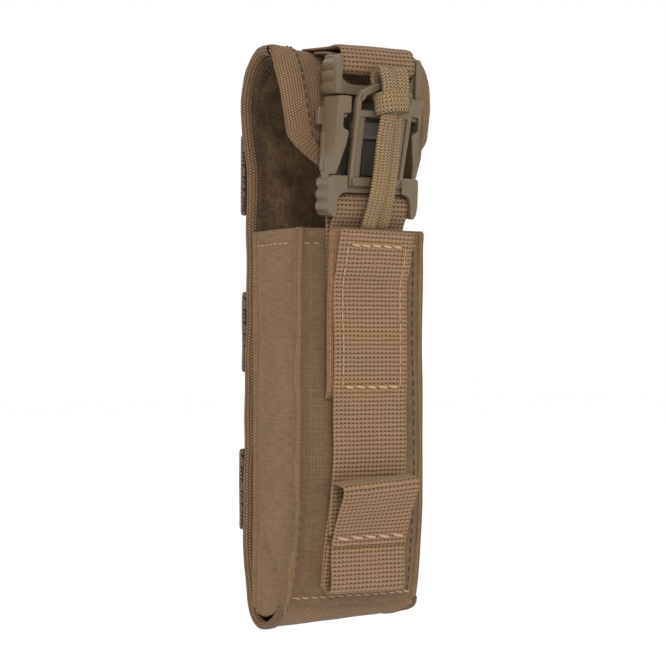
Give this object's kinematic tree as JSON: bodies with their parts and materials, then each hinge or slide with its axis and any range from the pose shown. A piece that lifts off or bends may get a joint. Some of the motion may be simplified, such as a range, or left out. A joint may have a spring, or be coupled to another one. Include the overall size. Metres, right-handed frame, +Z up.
{
  "type": "flashlight pouch",
  "caption": "Narrow fabric flashlight pouch with a hooded mouth, a quick release strap buckle with a cord-pulled lever, and webbing rows on its back.",
  "frame": {"origin": "centre of the middle attachment row's rear face, where the pouch lies against what carries it", "axes": "+X to the wearer's left as the pouch is seen from the front (right in front view), +Y towards what carries it, +Z up"},
  "size_m": [0.051, 0.0548, 0.1874],
  "materials": {
    "fabric_tan": "fine woven laminated nylon, matte",
    "fabric_brown": "coarse plain weave nylon, matte",
    "webbing_tan": "ribbed nylon webbing",
    "webbing_back": "ribbed nylon webbing",
    "binding_tape": "grosgrain binding tape",
    "loop_lining": "fuzzy brushed loop fabric",
    "buckle_plastic": "moulded satin plastic",
    "cord_tan": "braided nylon cord",
    "snap_metal": "painted snap fastener"
  },
  "bodies": {
    "pouch": {"back_panel": "fabric_brown", "back_lining": "loop_lining", "edge_binding_left": "binding_tape", "edge_binding_right": "binding_tape", "pals_row_top": "webbing_back", "pals_row_middle": "webbing_back", "pals_row_bottom": "webbing_back", "attachment_strap": "webbing_tan", "snap_cap": "snap_metal", "snap_rivet": "snap_metal", "front_panel": "fabric_tan", "side_gusset_left": "fabric_tan", "side_gusset_right": "fabric_tan", "bottom_sling": "fabric_brown", "lower_strap": "webbing_tan", "overlay_tab": "fabric_tan", "front_webbing": "webbing_tan", "tab_anchor_loop": "webbing_tan", "buckle_base": "buckle_plastic", "pull_cord_legs": "cord_tan"},
    "hood": {"flap_shell": "fabric_brown", "flap_tongue": "fabric_brown", "flap_lining": "loop_lining", "upper_strap": "webbing_tan", "buckle_top": "buckle_plastic"},
    "lever": {"release_lever": "buckle_plastic", "pull_cord_hitch": "cord_tan"},
    "latch_left": {"latch_arm_left": "buckle_plastic"},
    "latch_right": {"latch_arm_right": "buckle_plastic"},
    "tab": {"pull_tab": "webbing_tan"}
  },
  "joints": [
    {"name": "hood_fold", "type": "hinge", "parent": "pouch", "child": "hood", "pos_m": [0, -0.0038, 0.06955], "axis": [-1, 0, 0], "range_deg": [0, 110], "deforming": ["flap_tongue"]},
    {"name": "lever_release", "type": "hinge", "parent": "pouch", "child": "lever", "pos_m": [0, -0.04366, 0.046], "axis": [1, 0, 0], "range_deg": [0, 25], "stiffness_Nm_per_rad": 0.03, "springref_deg": -8.59, "deforming": ["pull_cord_legs"]},
    {"name": "latch_left_flex", "type": "hinge", "parent": "pouch", "child": "latch_left", "pos_m": [-0.0144, -0.04061, 0.04847], "axis": [0, -0.9962, -0.0872], "range_deg": [0, 5], "stiffness_Nm_per_rad": 0.005},
    {"name": "latch_right_flex", "type": "hinge", "parent": "pouch", "child": "latch_right", "pos_m": [0.0144, -0.04061, 0.04847], "axis": [0, 0.9962, 0.0872], "range_deg": [0, 5], "stiffness_Nm_per_rad": 0.005},
    {"name": "tab_lean", "type": "hinge", "parent": "pouch", "child": "tab", "pos_m": [0, -0.0384, -0.0656], "axis": [1, 0, 0], "range_deg": [-18, 55], "stiffness_Nm_per_rad": 0.01}
  ],
  "couplings": [
    {"joint": "latch_left_flex", "follows": "lever_release", "ratio": 0.2},
    {"joint": "latch_right_flex", "follows": "lever_release", "ratio": 0.2}
  ]
}
